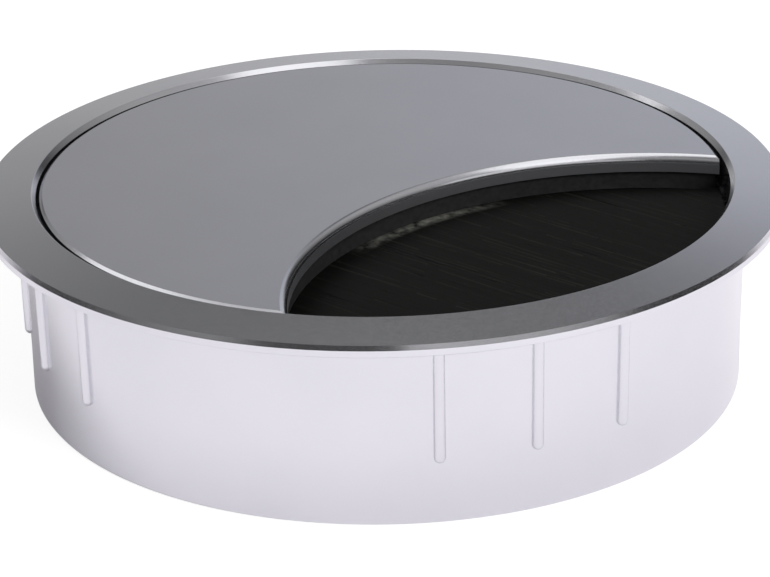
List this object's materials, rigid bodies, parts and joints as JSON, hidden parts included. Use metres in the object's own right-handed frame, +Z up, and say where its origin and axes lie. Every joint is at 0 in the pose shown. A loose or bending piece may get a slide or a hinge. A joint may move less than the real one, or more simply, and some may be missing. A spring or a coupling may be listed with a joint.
{
  "type": "desk cable grommet",
  "caption": "Round cast desk cable grommet: a flanged ring with a ribbed sleeve, a flush crescent lid and a black brush closing its lens-shaped cable outlet.",
  "frame": {"origin": "centre of the flange's underside, the face that rests on the desk top", "axes": "+Z up along the sleeve's axis out of the desk; the cable outlet faces between +X and -Y"},
  "size_m": [0.0874, 0.0874, 0.0226],
  "materials": {
    "satin_nickel": "satin nickel plate on cast zinc",
    "holder_plastic": "fine matt moulded plastic",
    "bristle_nylon": "black nylon filaments with a soft sheen"
  },
  "bodies": {
    "root": {"ring": "satin_nickel", "lid": "satin_nickel", "brush_holder": "holder_plastic", "bristles": "bristle_nylon"}
  },
  "joints": []
}
